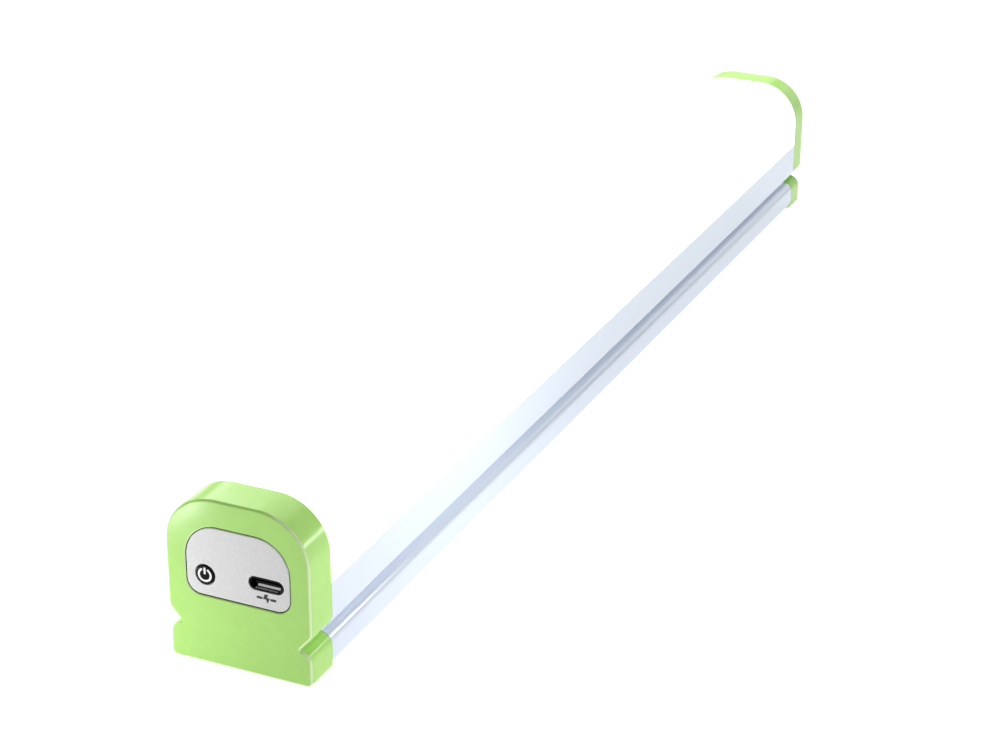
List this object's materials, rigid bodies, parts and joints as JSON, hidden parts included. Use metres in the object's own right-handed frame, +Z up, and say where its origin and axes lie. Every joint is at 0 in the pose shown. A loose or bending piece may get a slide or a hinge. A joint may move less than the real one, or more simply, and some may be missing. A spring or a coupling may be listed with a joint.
{
  "type": "led light tube",
  "caption": "Cordless rechargeable LED tube lamp with a grooved base rail, an opal cover, green end caps and a control panel with button and charging port.",
  "frame": {"origin": "bottom centre of the bounding box, on the surface the lamp lies on", "axes": "+Y along the lamp from the front cap, with the panel, to the rear cap; +Z up, out of the glowing cover; +X to the right as seen from the front"},
  "size_m": [0.038, 0.3532, 0.0438],
  "materials": {
    "green_caps": "satin-gloss moulded ABS, light yellow-green",
    "opal_cover": "opal polycarbonate, glowing white when the lamp is on",
    "rail": "satin white-lavender coat on extruded aluminium",
    "panel": "satin light grey with a fine grain",
    "black_plastic": "satin black moulded plastic",
    "steel": "satin zinc-plated steel",
    "port_steel": "satin dark steel",
    "circuit_board": "satin green solder mask on glass epoxy",
    "led_board_white": "matte white solder mask with LED packages",
    "aluminium": "satin mill-finish aluminium",
    "ferrite": "matte ferrite",
    "cell_wrap": null,
    "nickel": "satin nickel strip",
    "white_plastic": "satin white nylon",
    "foam": "matte foam tape",
    "red_wire": "satin red insulation",
    "black_wire": "satin black insulation"
  },
  "bodies": {
    "housing": {"base_rail": "rail", "battery_cell_1": "cell_wrap", "battery_cell_2": "cell_wrap", "battery_cell_3": "cell_wrap", "battery_connector": "white_plastic", "battery_lead_negative": "black_wire", "battery_lead_positive": "red_wire", "board_screw_left": "steel", "board_screw_right": "steel", "capacitor": "aluminium", "cell_spacer_1": "white_plastic", "cell_spacer_2": "white_plastic", "charge_chip": "black_plastic", "control_board": "circuit_board", "control_panel": "panel", "diffuser_cover": "opal_cover", "foam_pad_1": "foam", "foam_pad_2": "foam", "foam_pad_3": "foam", "front_cap": "green_caps", "front_cap_screw_left": "steel", "front_cap_screw_right": "steel", "inductor": "ferrite", "led_board": "led_board_white", "led_carrier": "aluminium", "led_connector": "white_plastic", "led_driver_chip": "black_plastic", "led_lead_negative": "black_wire", "led_lead_positive": "red_wire", "negative_tab_1": "nickel", "negative_tab_2": "nickel", "negative_tab_3": "nickel", "positive_tab_1": "nickel", "positive_tab_2": "nickel", "positive_tab_3": "nickel", "rear_cap": "green_caps", "rear_cap_screw_left": "steel", "rear_cap_screw_right": "steel", "switch_body": "black_plastic", "switch_cover": "steel", "switch_dome": "steel", "usb_port_shell": "port_steel", "usb_port_tongue": "black_plastic"},
    "button": {"power_button": "black_plastic"},
    "plunger": {"switch_plunger": "black_plastic"}
  },
  "joints": [
    {"name": "power_button_press", "type": "slide", "parent": "housing", "child": "button", "axis": [0, 1, 0], "range_m": [0, 0.0003], "stiffness_N_per_m": 1000},
    {"name": "switch_plunger_press", "type": "slide", "parent": "housing", "child": "plunger", "axis": [0, 1, 0], "range_m": [0, 0.0003]}
  ],
  "couplings": [
    {"joint": "switch_plunger_press", "follows": "power_button_press", "ratio": 1}
  ]
}
